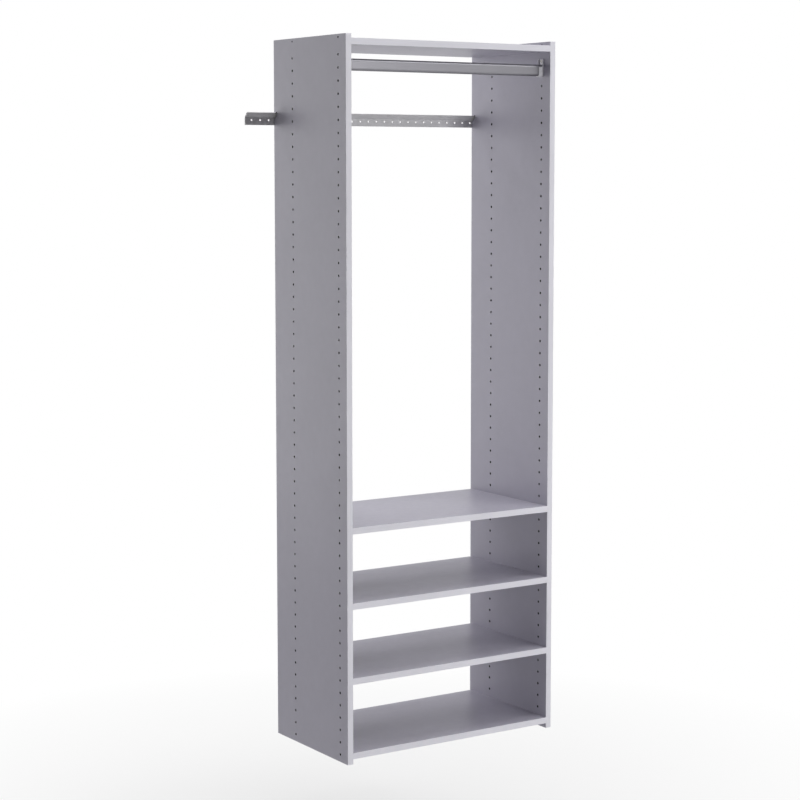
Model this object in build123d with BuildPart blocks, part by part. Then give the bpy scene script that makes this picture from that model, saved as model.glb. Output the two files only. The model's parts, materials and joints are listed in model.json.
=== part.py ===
from build123d import *

import os
from math import cos, radians, sin, tan

# A closet tower of melamine boards that hangs on a steel rail on the wall, in millimetres.
# The wall is the plane Y = 0 and the front faces -Y. X = 0 is the middle of the tower, with
# +X to the right seen from the front, and Z = 0 is the line of screw holes in the rail.

# Boards
board_thickness = 15.875
panel_height = 1828.8
panel_depth = 355.6
shelf_length = 609.6
shelf_depth = 349.25
band_thickness = 1.0
band_round = 0.4
top_shelf_drop = 10.2

# Holes through the panels, in a front and a rear column
hole_radius = 2.5
hole_pitch = 32.0
first_hole_height = 19.0
top_hole_room = 48.0
front_column_setback = 37.0
column_pitches = 7

# Heights of the lower shelves' rows above the lowest row of holes, counted in hole pitches
second_shelf_pitches = 18
third_shelf_pitches = 12
fourth_shelf_pitches = 6
bottom_shelf_pitches = 0

# Wall rail, a steel strip whose upper part, the lip, leans out from the wall by an angle in degrees
rail_length = 825.5
rail_offset = 6.35
rail_thickness = 2.0
rail_leg_height = 20.5
rail_hole_height = 12.7
rail_lip_rise = 12.2
rail_lip_angle = 45.0
rail_bend_radius = 1.5
rail_hole_pitch = 25.4
rail_hole_radius = 2.5
rail_end_margin = 19.0
rail_drop = 204.8
rail_slot_width = 7.5
seat_gap = 0.3

# Cam fittings that pull each shelf end against its panel
dowel_height_share = 0.38
dowel_bite = 11.0
dowel_fit = 0.1
stem_radius = 3.0
stem_bore_fit = 0.4
neck_radius = 1.8
head_radius = 2.8
head_length = 4.0
cam_inset = 34.0
cam_pocket_radius = 7.5
cam_fit = 0.2
cam_cavity_radius = 4.0
cam_inner_fit = 0.25
recess_length = 8.0
recess_width = 1.4
recess_depth_share = 0.6

# Closet rod, an oval tube, and the open cups that hold its ends
rod_height = 30.0
rod_width = 15.0
rod_wall = 1.2
rod_drop = 24.0
rod_end_gap = 0.5
cup_wall = 1.5
cup_depth = 15.4
cup_wall_rise = 24.0
plate_thickness = 2.5
plate_rise = 5.0
rim_depth = 5.3
peg_length = 8.0
screw_length = 13.0
screw_head_radius = 3.9
screw_fit = 0.1
screw_recess_width = 1.0
screw_recess_length = 4.4
screw_recess_depth = 1.6

cut_overrun = 5.0

# Places that follow from the sizes
inner_x = shelf_length / 2
panel_back = -(rail_thickness + seat_gap)
panel_front = panel_back - panel_depth
panel_top = rail_drop
panel_bottom = panel_top - panel_height
shelf_back = panel_front + shelf_depth
front_column = panel_front + front_column_setback
rear_column = front_column + column_pitches * hole_pitch
columns = {"front": front_column, "rear": rear_column}
sides = {"left": -1, "right": 1}
row_count = int((panel_height - first_hole_height - top_hole_room) / hole_pitch) + 1
rows = [panel_bottom + first_hole_height + row * hole_pitch for row in range(row_count)]
edge_hole = panel_top - board_thickness / 2
dowel_height = dowel_height_share * board_thickness
top_dowel_line = panel_top - top_shelf_drop - board_thickness + dowel_height
rod_y = front_column
rod_z = rows[-1] - rod_drop
lip_out = sin(radians(rail_lip_angle))
lip_up = cos(radians(rail_lip_angle))
rail_leg_top = rail_leg_height - rail_hole_height


def save(builder, name):
    builder.part.label = name
    export_step(builder.part, f"parts/{name}.step")


def wall_rail():
    lip_run = rail_lip_rise * tan(radians(rail_lip_angle))
    start = rail_offset - rail_length / 2
    hole_count = int((rail_length - 2 * rail_end_margin) / rail_hole_pitch) + 1
    with BuildPart() as rail:
        with BuildSketch(Plane.YZ.offset(start)):
            with BuildLine():
                FilletPolyline(
                    (0, -rail_hole_height),
                    (0, rail_leg_top),
                    (-lip_run, rail_leg_top + rail_lip_rise),
                    radius=rail_bend_radius + rail_thickness,
                )
                offset(amount=rail_thickness, side=Side.LEFT)
            make_face()
        extrude(amount=rail_length)
        with BuildSketch(Plane.XZ):
            with Locations((rail_offset, 0)):
                with GridLocations(rail_hole_pitch, rail_hole_pitch, hole_count, 1):
                    Circle(rail_hole_radius)
        extrude(amount=rail_thickness + cut_overrun, both=True, mode=Mode.SUBTRACT)
    save(rail, "wall_rail")


def rail_slot():
    """The panel's slot for the rail's lip, open at the rear edge. Its upper side bears on the lip's back."""
    across = rail_slot_width / 2 - seat_gap
    first = -rail_slot_width - cut_overrun
    last = rail_lip_rise / lip_up + seat_gap
    middle = (first + last) / 2
    y = -lip_up * across - lip_out * middle
    z = rail_leg_top - lip_out * across + lip_up * middle
    with Locations((y, z)):
        SlotCenterToCenter(
            last - first,
            rail_slot_width,
            rotation=90 + rail_lip_angle,
            mode=Mode.SUBTRACT,
        )


def panel(name, side):
    board_front = panel_front + band_thickness
    depth = panel_back - board_front
    with BuildPart() as board:
        with BuildSketch(Plane.YZ.offset(side * inner_x)):
            with Locations(((board_front + panel_back) / 2, (panel_top + panel_bottom) / 2)):
                Rectangle(depth, panel_height)
            rail_slot()
            with Locations([(y, z) for y in columns.values() for z in [*rows, edge_hole]]):
                Circle(hole_radius, mode=Mode.SUBTRACT)
        extrude(amount=side * board_thickness)
        with BuildSketch(Plane.YZ.offset(side * inner_x)):
            with Locations([(y, top_dowel_line) for y in columns.values()]):
                Circle(hole_radius)
        extrude(amount=side * (dowel_bite + dowel_fit), mode=Mode.SUBTRACT)
    save(board, name)

    with BuildPart() as band:
        with BuildSketch(Plane.XY.offset(panel_bottom)):
            with Locations((side * (inner_x + board_thickness / 2), panel_front + band_thickness / 2)):
                Rectangle(board_thickness, band_thickness)
        extrude(amount=panel_height)
        fillet(band.faces().sort_by(Axis.Y)[0].edges(), radius=band_round)
    save(band, f"{name}_edge_band")


def shelf(name, dowel_line):
    bottom = dowel_line - dowel_height
    board_front = panel_front + band_thickness
    cam_x = inner_x - cam_inset
    with BuildPart() as board:
        with BuildSketch(Plane.XY.offset(bottom)):
            with Locations((0, (board_front + shelf_back) / 2)):
                Rectangle(shelf_length, shelf_back - board_front)
        extrude(amount=board_thickness)
        with BuildSketch(Plane.XY.offset(bottom)):
            with Locations([(side * cam_x, y) for side in sides.values() for y in columns.values()]):
                Circle(cam_pocket_radius)
        extrude(amount=2 * dowel_height, mode=Mode.SUBTRACT)
        for side in sides.values():
            with BuildSketch(Plane.YZ.offset(side * inner_x)):
                with Locations([(y, dowel_line) for y in columns.values()]):
                    Circle(stem_radius + stem_bore_fit)
            extrude(amount=-side * cam_inset, mode=Mode.SUBTRACT)
    save(board, name)

    with BuildPart() as band:
        with BuildSketch(Plane.XZ.offset(-board_front)):
            with Locations((0, bottom + board_thickness / 2)):
                Rectangle(shelf_length, board_thickness)
        extrude(amount=band_thickness)
        front = band.faces().sort_by(Axis.Y)[0]
        fillet(front.edges().filter_by(Axis.X), radius=band_round)
    save(band, f"{name}_edge_band")


def dowels(name, dowel_line):
    """Four steel dowels, each screwed into a panel, with a head that lies in the middle of its cam."""
    cam_edge = cam_inset - cam_pocket_radius
    lengths = [
        (hole_radius - dowel_fit, -dowel_bite, 0),
        (stem_radius, 0, cam_edge),
        (neck_radius, cam_edge, cam_inset - head_length / 2),
        (head_radius, cam_inset - head_length / 2, cam_inset + head_length / 2),
    ]
    with BuildPart() as group:
        for side in sides.values():
            for radius, near, far in lengths:
                with BuildSketch(Plane.YZ.offset(side * (inner_x - near))):
                    with Locations([(y, dowel_line) for y in columns.values()]):
                        Circle(radius)
                extrude(amount=-side * (far - near))
    save(group, f"{name}_dowels")


def cam(name, dowel_line, side, y):
    """A round zinc cam, locked. It turns half a turn, along its slot, to the mouth that frees the dowel."""
    x = side * (inner_x - cam_inset)
    radius = cam_pocket_radius - cam_fit
    bottom = dowel_line - dowel_height
    mouth = head_radius + cam_inner_fit
    cavity = mouth + cam_inner_fit
    slot = neck_radius + cam_inner_fit
    reach = cam_pocket_radius + cut_overrun
    floor = dowel_height - cavity
    with BuildPart() as body:
        with BuildSketch(Plane.XY.offset(bottom)):
            with Locations((x, y)):
                Circle(radius)
        extrude(amount=2 * dowel_height - cam_fit)
        with BuildSketch(Plane.XY.offset(dowel_line)):
            with Locations((x, y)):
                Circle(cam_cavity_radius)
        extrude(amount=cavity, both=True, mode=Mode.SUBTRACT)
        with BuildSketch(Plane.XY.offset(dowel_line)):
            with Locations((x, y + side * (reach - slot) / 2)):
                Rectangle(2 * reach, reach + slot)
        extrude(amount=slot, both=True, mode=Mode.SUBTRACT)
        with BuildSketch(Plane.YZ.offset(x)):
            with Locations((y, dowel_line)):
                Circle(mouth)
        extrude(amount=-side * reach, mode=Mode.SUBTRACT)
        with BuildSketch(Plane.XY.offset(bottom)):
            with Locations((x, y)):
                Rectangle(recess_length, recess_width)
                Rectangle(recess_width, recess_length)
        extrude(amount=recess_depth_share * floor, mode=Mode.SUBTRACT)
    save(body, name)


def closet_rod():
    half = inner_x - plate_thickness - rod_end_gap
    with BuildPart() as rod:
        with BuildSketch(Plane.YZ.offset(-half)):
            with Locations((rod_y, rod_z)):
                SlotOverall(rod_height, rod_width, rotation=90)
                SlotOverall(
                    rod_height - 2 * rod_wall,
                    rod_width - 2 * rod_wall,
                    rotation=90,
                    mode=Mode.SUBTRACT,
                )
        extrude(amount=2 * half)
    save(rod, "closet_rod")


def cup_outline(radius, top, mode=Mode.ADD):
    """A U outline: a half circle under the rod's lower end, with straight sides up to the given height."""
    centre = rod_z - (rod_height - rod_width) / 2
    with Locations((rod_y, centre)):
        Circle(radius, mode=mode)
    with Locations((rod_y, (centre + top) / 2)):
        Rectangle(2 * radius, top - centre, mode=mode)


def rod_bracket(name, side):
    inside = rod_width / 2 + seat_gap
    outside = inside + cup_wall
    plate_top = rows[-1] + plate_rise
    cup_top = rod_z - rod_height / 2 + cup_wall_rise
    with BuildPart() as bracket:
        with BuildSketch(Plane.YZ.offset(side * inner_x)):
            cup_outline(outside, plate_top)
        extrude(amount=-side * plate_thickness)
        for depth, top in ((rim_depth, plate_top), (cup_depth, cup_top)):
            with BuildSketch(Plane.YZ.offset(side * inner_x)):
                cup_outline(outside, top)
                cup_outline(inside, top + cut_overrun, Mode.SUBTRACT)
            extrude(amount=-side * depth)
        with BuildSketch(Plane.YZ.offset(side * inner_x)):
            with Locations((rod_y, rows[-2])):
                Circle(hole_radius - dowel_fit)
        extrude(amount=side * peg_length)
        face = Plane(
            origin=(side * (inner_x - plate_thickness), rod_y, rows[-1]),
            z_dir=(-side, 0, 0),
        )
        with Locations(face):
            CounterSinkHole(
                radius=hole_radius,
                counter_sink_radius=screw_head_radius + screw_fit,
                depth=plate_thickness,
                counter_sink_angle=90,
            )
    save(bracket, name)


def bracket_screws():
    """Two flush screws, one through each bracket's plate into the top hole of the front column."""
    shank = hole_radius - dowel_fit
    head_height = screw_head_radius - shank
    with BuildPart() as screws:
        for side in sides.values():
            plate_face = side * (inner_x - plate_thickness)
            head = Plane(origin=(plate_face, rod_y, rows[-1]), z_dir=(side, 0, 0))
            with BuildSketch(head):
                Circle(screw_head_radius)
            with BuildSketch(head.offset(head_height)):
                Circle(shank)
            loft()
            with BuildSketch(head.offset(head_height)):
                Circle(shank)
            extrude(amount=screw_length - head_height)
            with BuildSketch(head):
                Rectangle(screw_recess_length, screw_recess_width)
                Rectangle(screw_recess_width, screw_recess_length)
            extrude(amount=screw_recess_depth, mode=Mode.SUBTRACT)
    save(screws, "rod_bracket_screws")


os.makedirs("parts", exist_ok=True)

wall_rail()
for side_name, side in sides.items():
    panel(f"{side_name}_panel", side)
    rod_bracket(f"{side_name}_rod_bracket", side)

dowel_lines = {
    "top_shelf": top_dowel_line,
    "second_shelf": rows[second_shelf_pitches],
    "third_shelf": rows[third_shelf_pitches],
    "fourth_shelf": rows[fourth_shelf_pitches],
    "bottom_shelf": rows[bottom_shelf_pitches],
}
for shelf_name, line in dowel_lines.items():
    shelf(shelf_name, line)
    dowels(shelf_name, line)
    for side_name, side in sides.items():
        for column_name, column in columns.items():
            cam(f"{shelf_name}_cam_{column_name}_{side_name}", line, side, column)

closet_rod()
bracket_screws()
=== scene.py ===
import json
import math

import bpy
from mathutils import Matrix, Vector

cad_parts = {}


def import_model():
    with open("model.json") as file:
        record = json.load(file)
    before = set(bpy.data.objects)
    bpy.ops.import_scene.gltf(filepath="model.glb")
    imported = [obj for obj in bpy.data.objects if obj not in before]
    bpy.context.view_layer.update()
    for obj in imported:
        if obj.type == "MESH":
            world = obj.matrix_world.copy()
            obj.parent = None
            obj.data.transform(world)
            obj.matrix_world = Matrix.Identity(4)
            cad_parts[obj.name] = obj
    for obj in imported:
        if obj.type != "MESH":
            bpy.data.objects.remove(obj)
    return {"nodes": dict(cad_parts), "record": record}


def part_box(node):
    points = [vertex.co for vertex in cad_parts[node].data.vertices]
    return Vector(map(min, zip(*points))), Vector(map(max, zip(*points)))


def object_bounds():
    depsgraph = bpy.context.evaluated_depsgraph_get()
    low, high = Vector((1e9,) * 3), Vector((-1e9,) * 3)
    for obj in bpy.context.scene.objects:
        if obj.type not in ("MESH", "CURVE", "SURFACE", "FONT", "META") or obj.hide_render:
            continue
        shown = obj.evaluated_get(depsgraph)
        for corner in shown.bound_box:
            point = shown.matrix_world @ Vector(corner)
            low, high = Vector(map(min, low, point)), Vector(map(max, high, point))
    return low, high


# The finish, camera and light of a closet tower on its wall rail, in metres. The wall is the plane
# Y = 0, the front faces -Y, and Z = 0 is the line of screw holes in the rail.

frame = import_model()
nodes = frame["nodes"]
cad_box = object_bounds()

MM_PER_M = 1000

# Camera, in metres and degrees, with its lens and sensor in millimetres
CAMERA_PLACE = (-2.9411, -4.6217, -0.1168)
CAMERA_YAW = 33.3535
CAMERA_PITCH = 5.6918
CAMERA_LENS = 91.369
CAMERA_SENSOR = 36
CAMERA_SHIFT = (-0.01199, -0.04003)

# Floor, as far below the tower as such a tower hangs above the floor of a room. Its share of the
# background's white grows to 1 between two distances from its middle.
FLOOR_DROP = 0.305
FLOOR_RADIUS = 3.0
FLOOR_CORNERS = 96
FLOOR_COLOUR = (0.8, 0.8, 0.8)
FLOOR_ROUGHNESS = 1.0
FLOOR_SPECULAR = 0.0
FLOOR_WHITE = 0.6
FLOOR_FADE = (0.3, 1.8)

# Soft boxes that face one point: places and sizes in metres, power in watts
LAMPS = {
    "front_right": {"place": (2.4, -3.0, 2.8), "size": (2.0, 1.6), "power": 54},
    "front_level": {"place": (0.9, -4.2, -0.2), "size": (0.8, 1.6), "power": 46},
    "overhead": {"place": (0.0, -0.4, 5.0), "size": (3.0, 4.0), "power": 200},
    "rear_left": {"place": (-2.5, 2.6, -0.3), "size": (2.6, 3.0), "power": 47},
    "right_low": {"place": (3.2, -0.8, -1.0), "size": (1.6, 1.4), "power": 30},
    "back": {"place": (-0.5, 1.7, 1.5), "size": (1.6, 1.0), "power": 16},
    "rear_middle": {"place": (-0.25, 1.5, -0.4), "size": (1.1, 1.6), "power": 6},
}
LAMP_AIM = (0.0, -0.18, -0.65)

# Colours, linear red, green and blue
WHITE = (1, 1, 1)
LAMINATE = (0.448, 0.433, 0.507)
BAND = (0.90, 0.89, 0.96)
CORE = (0.33, 0.25, 0.17)
# Near black, painted as shade on the walls of holes and pockets and in a ring round each panel hole
PAINTED_HOLE_SHADE = (0.006, 0.005, 0.005)

PANELS = ("left_panel", "right_panel")

# A board's core shows below its laminate. Deeper than the edges, it is the wall of a hole or pocket,
# painted near black as shade
LAMINATE_THICKNESS = 0.00015
EDGE_DEPTH = 0.0008

# Holes on the panels' 32 mm pitch, with a thin ring of painted shade round each one
JOINING_HOLES = "left_panel_joining_holes"
HOLE_PITCH = 0.032
HOLE_SHADE_RADIUS = 0.0034

# Noise in each surface: cells to the metre, and levels of detail
BOARD_CLOUDS = (3.0, 2.0)
BOARD_MOTTLE = (38.0, 3.0)
BOARD_GRAIN = (900.0, 1.0)
BOARD_SHEEN = (60.0, 3.0)
CORE_CHIPS = (420.0, 4.0)
BAND_CLOUDS = (4.0, 2.0)
BAND_STREAKS = (700.0, 2.0)
METAL_BLOTCHES = (25.0, 3.0)
METAL_GRAIN_DETAIL = 3.0

# Nearly all noise lies in the first range. The chips' noise is cut off at a narrower one
NOISE_RANGE = (0.3, 0.7)
CHIP_RANGE = (0.35, 0.65)

# Shares by which the noise makes a colour lighter or darker
BOARD_CLOUD_TONE = 0.035
BOARD_MOTTLE_TONE = 0.015
BOARD_GRAIN_TONE = 0.015
CORE_CHIP_TONE = 0.45
BAND_CLOUD_TONE = 0.04
BAND_STREAK_TONE = 0.02
METAL_GRAIN_TONE = 0.03

# Stretch of the grain along the three axes
EVEN = (1, 1, 1)
BRUSHED = (0.02, 1, 1)
STREAK_STRETCH = 0.02

# Gloss
BOARD_SPECULAR = 0.27
BAND_SPECULAR = 0.45
METAL_SPECULAR = 0.5
BOARD_ROUGHNESS = (0.36, 0.44)
BAND_ROUGHNESS = (0.34, 0.44)
CORE_ROUGHNESS = 0.9

# Relief, with depths in metres. The core's chips stand out by a multiple of the board's grain
BOARD_RELIEF = 0.00006
BOARD_RELIEF_STRENGTH = 0.6
BAND_RELIEF = 0.00003
SMOOTH_RELIEF_STRENGTH = 0.5
CORE_CHIP_RELIEF = 2.0

METALS = {
    "rail_steel": {
        "colour": (0.76, 0.755, 0.76),
        "metallic": 0.05,
        "roughness": (0.44, 0.52),
        "stretch": BRUSHED,
        "cells": 500.0,
        "blotch": 0.05,
        "relief": 0.00001,
    },
    "rod_steel": {
        "colour": (0.25, 0.246, 0.268),
        "metallic": 0.6,
        "roughness": (0.32, 0.36),
        "stretch": BRUSHED,
        "cells": 1500.0,
        "blotch": 0.02,
        "relief": 0.000004,
    },
    "bracket_metal": {
        "colour": (0.80, 0.79, 0.83),
        "metallic": 0.0,
        "roughness": (0.36, 0.44),
        "stretch": EVEN,
        "cells": 800.0,
        "blotch": 0.03,
        "relief": 0.00001,
    },
    "cast_zinc": {
        "colour": (0.36, 0.36, 0.37),
        "metallic": 1.0,
        "roughness": (0.38, 0.52),
        "stretch": EVEN,
        "cells": 1500.0,
        "blotch": 0.06,
        "relief": 0.00008,
    },
    "fitting_steel": {
        "colour": (0.26, 0.255, 0.25),
        "metallic": 1.0,
        "roughness": (0.32, 0.42),
        "stretch": EVEN,
        "cells": 1200.0,
        "blotch": 0.04,
        "relief": 0.00004,
    },
}


def node_of(tree, kind):
    """The first node of a kind in a node tree."""
    return next(node for node in tree.nodes if node.type == kind)


def socket_of(sockets, identifier):
    """The socket with an identifier, for nodes on which several sockets share a name."""
    return next(socket for socket in sockets if socket.identifier == identifier)


def link(tree, start, end):
    """Links two sockets, or sets the second one where the first is a plain value."""
    if isinstance(start, bpy.types.NodeSocket):
        tree.links.new(start, end)
    else:
        end.default_value = start


def maths(tree, operation, first, second=0.0):
    """A Math node's result. Its inputs are sockets or numbers."""
    node = tree.nodes.new("ShaderNodeMath")
    node.operation = operation
    link(tree, first, node.inputs[0])
    link(tree, second, node.inputs[1])
    return node.outputs[0]


def times(tree, first, second):
    """Two values multiplied. Of two masks that are 0 or 1, it is 1 where both are."""
    return maths(tree, "MULTIPLY", first, second)


def position(tree):
    """The point's place on its node, in metres, as a vector and as three numbers."""
    where = tree.nodes.new("ShaderNodeTexCoord").outputs["Object"]
    split = tree.nodes.new("ShaderNodeSeparateXYZ")
    tree.links.new(where, split.inputs[0])
    return where, split.outputs


def noise(tree, where, cells, detail, stretch=EVEN):
    """Noise of a number of cells to the metre, drawn out along an axis by a small stretch."""
    mapping = tree.nodes.new("ShaderNodeMapping")
    mapping.inputs["Scale"].default_value = stretch
    tree.links.new(where, mapping.inputs["Vector"])
    texture = tree.nodes.new("ShaderNodeTexNoise")
    texture.inputs["Scale"].default_value = cells
    texture.inputs["Detail"].default_value = detail
    tree.links.new(mapping.outputs[0], texture.inputs["Vector"])
    return texture.outputs[0]


def spread(tree, value, low, high, given=NOISE_RANGE):
    """Spreads a value's given range over the range from low to high."""
    node = tree.nodes.new("ShaderNodeMapRange")
    tree.links.new(value, node.inputs["Value"])
    node.inputs["From Min"].default_value = given[0]
    node.inputs["From Max"].default_value = given[1]
    node.inputs["To Min"].default_value = low
    node.inputs["To Max"].default_value = high
    return node.outputs[0]


def tone(tree, value, share, given=NOISE_RANGE):
    """Noise as a tone round 1, which makes a colour lighter and darker by a share."""
    return spread(tree, value, 1.0 - share, 1.0 + share, given)


def mix(tree, share, first, second):
    """A colour between two colours, each one a socket or a linear colour."""
    node = tree.nodes.new("ShaderNodeMix")
    node.data_type = "RGBA"
    link(tree, share, node.inputs["Factor"])
    for value, identifier in ((first, "A_Color"), (second, "B_Color")):
        colour = (*value, 1.0) if isinstance(value, tuple) else value
        link(tree, colour, socket_of(node.inputs, identifier))
    return socket_of(node.outputs, "Result_Color")


def tinted(tree, colour, tones):
    """A colour made lighter or darker by tones round 1."""
    node = tree.nodes.new("ShaderNodeVectorMath")
    node.operation = "SCALE"
    link(tree, colour, node.inputs[0])
    tree.links.new(tones, node.inputs["Scale"])
    return node.outputs[0]


def bump(tree, height, distance, strength):
    """The surface's normal under a fine relief."""
    node = tree.nodes.new("ShaderNodeBump")
    node.inputs["Distance"].default_value = distance
    node.inputs["Strength"].default_value = strength
    tree.links.new(height, node.inputs["Height"])
    return node.outputs[0]


def new_material(name, specular, metallic=0.0):
    """A new material with a Principled shader, and the shader."""
    material = bpy.data.materials.new(name)
    material.use_nodes = True
    shader = node_of(material.node_tree, "BSDF_PRINCIPLED")
    shader.inputs["Metallic"].default_value = metallic
    shader.inputs["Specular IOR Level"].default_value = specular
    return material, shader


def hole_shade_rings(tree, axes):
    """1 close round the holes of a panel's two columns, where a ring of painted shade goes.

    The columns' places follow from the mount of the joining holes, its first row and spacing."""
    mounts = frame["record"]["mounts"]
    joining = next(mount for mount in mounts if mount["name"] == JOINING_HOLES)
    _, middle, height = joining["pos_m"]
    half_width = joining["dims"]["spacing_x_mm"] / MM_PER_M / 2
    first_row = height - joining["dims"]["spacing_y_mm"] / MM_PER_M / 2

    off_middle = maths(tree, "ABSOLUTE", maths(tree, "SUBTRACT", axes[1], middle))
    across = maths(tree, "SUBTRACT", off_middle, half_width)
    rows = maths(tree, "DIVIDE", maths(tree, "SUBTRACT", axes[2], first_row), HOLE_PITCH)
    along = times(tree, maths(tree, "SUBTRACT", rows, maths(tree, "ROUND", rows)), HOLE_PITCH)
    squares = maths(tree, "ADD", times(tree, across, across), times(tree, along, along))
    close = maths(tree, "LESS_THAN", maths(tree, "SQRT", squares), HOLE_SHADE_RADIUS)
    below_top = maths(tree, "LESS_THAN", axes[2], cad_box[1][2] - HOLE_PITCH)
    return times(tree, close, below_top)


def board_material(name):
    """Melamine laminate on particle board.

    The board's core shows on its unbanded edges. Its holes and pockets are painted near black as
    shade, and panels get a ring of painted shade round each hole."""
    low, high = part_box(name)
    thin_axis = min(range(3), key=lambda axis: high[axis] - low[axis])
    material, shader = new_material(name, BOARD_SPECULAR)
    tree = material.node_tree
    where, axes = position(tree)

    def inside(axis, margin):
        """1 where the point lies deeper in the board than a margin, along an axis."""
        middle = (low[axis] + high[axis]) / 2
        half = (high[axis] - low[axis]) / 2
        off = maths(tree, "ABSOLUTE", maths(tree, "SUBTRACT", axes[axis], middle))
        return maths(tree, "LESS_THAN", off, half - margin)

    core = inside(thin_axis, LAMINATE_THICKNESS)
    others = [axis for axis in range(3) if axis != thin_axis]
    deep = times(tree, inside(others[0], EDGE_DEPTH), inside(others[1], EDGE_DEPTH))
    # The walls of holes and pockets, which are painted near black as shade
    shaded_hollows = times(tree, core, deep)
    # A ring of painted shade round each hole of a panel
    shade_ring = hole_shade_rings(tree, axes) if name in PANELS else 0.0

    clouds = tone(tree, noise(tree, where, *BOARD_CLOUDS), BOARD_CLOUD_TONE)
    mottle = tone(tree, noise(tree, where, *BOARD_MOTTLE), BOARD_MOTTLE_TONE)
    grain = noise(tree, where, *BOARD_GRAIN)
    tones = times(tree, times(tree, clouds, mottle), tone(tree, grain, BOARD_GRAIN_TONE))
    chips = tone(tree, noise(tree, where, *CORE_CHIPS), CORE_CHIP_TONE, CHIP_RANGE)
    # Painted shade: near black on the walls of holes and pockets, and in a ring round each panel hole
    core_and_shade = mix(tree, shaded_hollows, tinted(tree, CORE, chips), PAINTED_HOLE_SHADE)
    laminate_and_shade = mix(tree, shade_ring, tinted(tree, LAMINATE, tones), PAINTED_HOLE_SHADE)
    tree.links.new(mix(tree, core, laminate_and_shade, core_and_shade), shader.inputs["Base Color"])

    smooth = spread(tree, noise(tree, where, *BOARD_SHEEN), *BOARD_ROUGHNESS)
    roughness = maths(tree, "MAXIMUM", smooth, times(tree, core, CORE_ROUGHNESS))
    tree.links.new(roughness, shader.inputs["Roughness"])
    chip_relief = times(tree, times(tree, core, chips), CORE_CHIP_RELIEF)
    relief = maths(tree, "ADD", grain, chip_relief)
    normal = bump(tree, relief, BOARD_RELIEF, BOARD_RELIEF_STRENGTH)
    tree.links.new(normal, shader.inputs["Normal"])
    return material


def band_material(name):
    """Plastic edge band, lighter than the board, with faint streaks along its length."""
    low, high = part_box(name)
    long_axis = max(range(3), key=lambda axis: high[axis] - low[axis])
    stretch = tuple(STREAK_STRETCH if axis == long_axis else 1.0 for axis in range(3))
    material, shader = new_material(name, BAND_SPECULAR)
    tree = material.node_tree
    where, _ = position(tree)
    streaks = noise(tree, where, *BAND_STREAKS, stretch)
    clouds = tone(tree, noise(tree, where, *BAND_CLOUDS), BAND_CLOUD_TONE)
    tones = times(tree, clouds, tone(tree, streaks, BAND_STREAK_TONE))
    tree.links.new(tinted(tree, BAND, tones), shader.inputs["Base Color"])
    tree.links.new(spread(tree, streaks, *BAND_ROUGHNESS), shader.inputs["Roughness"])
    normal = bump(tree, streaks, BAND_RELIEF, SMOOTH_RELIEF_STRENGTH)
    tree.links.new(normal, shader.inputs["Normal"])
    return material


def metal_material(name, colour, metallic, roughness, stretch, cells, blotch, relief):
    """Metal with brushing or cast grain, broad blotches, and roughness that follows the grain."""
    material, shader = new_material(name, METAL_SPECULAR, metallic)
    tree = material.node_tree
    where, _ = position(tree)
    grain = noise(tree, where, cells, METAL_GRAIN_DETAIL, stretch)
    blotches = tone(tree, noise(tree, where, *METAL_BLOTCHES), blotch)
    tones = times(tree, blotches, tone(tree, grain, METAL_GRAIN_TONE))
    tree.links.new(tinted(tree, colour, tones), shader.inputs["Base Color"])
    tree.links.new(spread(tree, grain, *roughness), shader.inputs["Roughness"])
    normal = bump(tree, grain, relief, SMOOTH_RELIEF_STRENGTH)
    tree.links.new(normal, shader.inputs["Normal"])
    return material


def dress(name, material):
    """Gives a CAD node one material."""
    nodes[name].data.materials.clear()
    nodes[name].data.materials.append(material)


def dress_nodes():
    """Gives every CAD node its material, by the kind of piece that its name says."""
    metals = {metal: metal_material(metal, **values) for metal, values in METALS.items()}
    for name in nodes:
        if name == "wall_rail":
            dress(name, metals["rail_steel"])
        elif name == "closet_rod":
            dress(name, metals["rod_steel"])
        elif name.endswith("rod_bracket"):
            dress(name, metals["bracket_metal"])
        elif "_cam_" in name:
            dress(name, metals["cast_zinc"])
        elif name.endswith(("_dowels", "_screws")):
            dress(name, metals["fitting_steel"])
        elif name.endswith("_edge_band"):
            dress(name, band_material(name))
        else:
            dress(name, board_material(name))


def background_rays(tree):
    """1 for the rays that see the background: those from the camera, from gloss and through glass."""
    path = tree.nodes.new("ShaderNodeLightPath")
    seen = maths(tree, "MAXIMUM", path.outputs["Is Camera Ray"], path.outputs["Is Glossy Ray"])
    return maths(tree, "MAXIMUM", seen, path.outputs["Is Transmission Ray"])


def world():
    """A white background, seen directly and in gloss, that gives no other light."""
    made = bpy.data.worlds.new("studio")
    bpy.context.scene.world = made
    made.use_nodes = True
    tree = made.node_tree
    shader = node_of(tree, "BACKGROUND")
    shader.inputs["Color"].default_value = (*WHITE, 1)
    tree.links.new(background_rays(tree), shader.inputs["Strength"])


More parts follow.
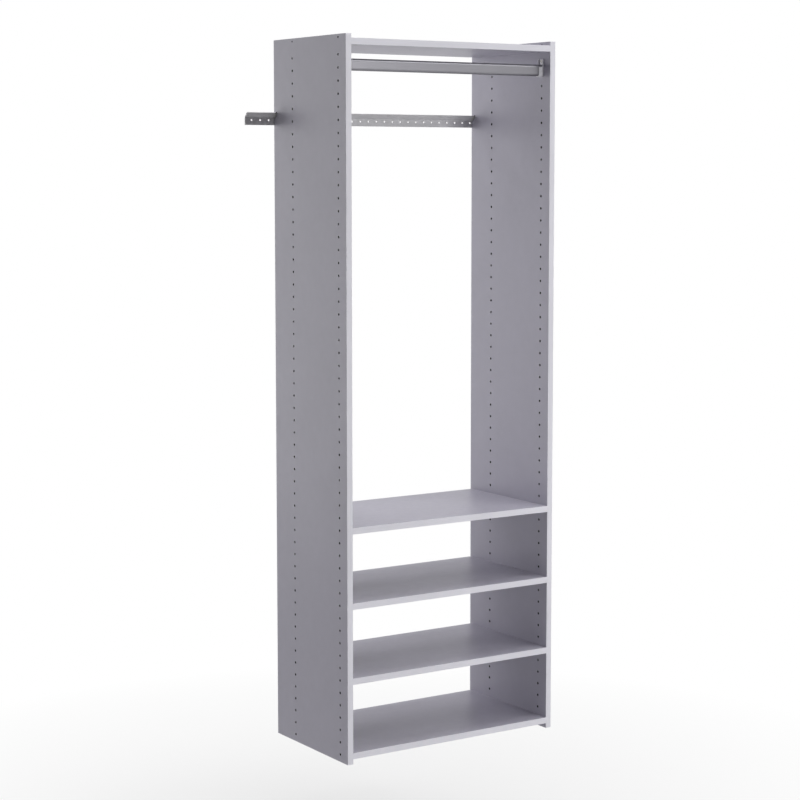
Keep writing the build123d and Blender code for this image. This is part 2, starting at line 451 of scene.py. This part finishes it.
def floor():
    """A pale round floor that keeps the tower's shadow and fades into the white background."""
    bottom = cad_box[0][2] - FLOOR_DROP
    bpy.ops.mesh.primitive_circle_add(
        vertices=FLOOR_CORNERS, radius=FLOOR_RADIUS, fill_type="NGON", location=(0, 0, bottom)
    )
    made = bpy.context.object
    made.name = "floor"
    material, shader = new_material("floor", FLOOR_SPECULAR)
    made.data.materials.append(material)
    tree = material.node_tree
    shader.inputs["Base Color"].default_value = (*FLOOR_COLOUR, 1)
    shader.inputs["Roughness"].default_value = FLOOR_ROUGHNESS
    where, _ = position(tree)
    length = tree.nodes.new("ShaderNodeVectorMath")
    length.operation = "LENGTH"
    tree.links.new(where, length.inputs[0])
    whiteness = spread(tree, length.outputs["Value"], FLOOR_WHITE, 1.0, FLOOR_FADE)
    white = tree.nodes.new("ShaderNodeEmission")
    blend = tree.nodes.new("ShaderNodeMixShader")
    tree.links.new(times(tree, background_rays(tree), whiteness), blend.inputs[0])
    tree.links.new(shader.outputs[0], blend.inputs[1])
    tree.links.new(white.outputs[0], blend.inputs[2])
    tree.links.new(blend.outputs[0], node_of(tree, "OUTPUT_MATERIAL").inputs["Surface"])


def lamp(name, place, size, power):
    """A soft box that faces the tower."""
    light = bpy.data.lights.new(name, "AREA")
    light.shape = "RECTANGLE"
    light.size, light.size_y = size
    light.energy = power
    made = bpy.data.objects.new(name, light)
    made.location = place
    made.rotation_euler = (Vector(LAMP_AIM) - Vector(place)).to_track_quat("-Z", "Y").to_euler()
    made.visible_camera = False
    bpy.context.scene.collection.objects.link(made)


def camera():
    """The camera at the photo's viewing angle, tilted down by its pitch and turned by its yaw."""
    data = bpy.data.cameras.new("camera")
    data.lens = CAMERA_LENS
    data.sensor_width = CAMERA_SENSOR
    data.shift_x, data.shift_y = CAMERA_SHIFT
    made = bpy.data.objects.new("camera", data)
    made.location = CAMERA_PLACE
    made.rotation_euler = (math.radians(90 - CAMERA_PITCH), 0, math.radians(-CAMERA_YAW))
    bpy.context.scene.collection.objects.link(made)
    bpy.context.scene.camera = made


bpy.context.scene.view_settings.view_transform = "Standard"
camera()
world()
floor()
for lamp_name, lamp_values in LAMPS.items():
    lamp(lamp_name, **lamp_values)
dress_nodes()
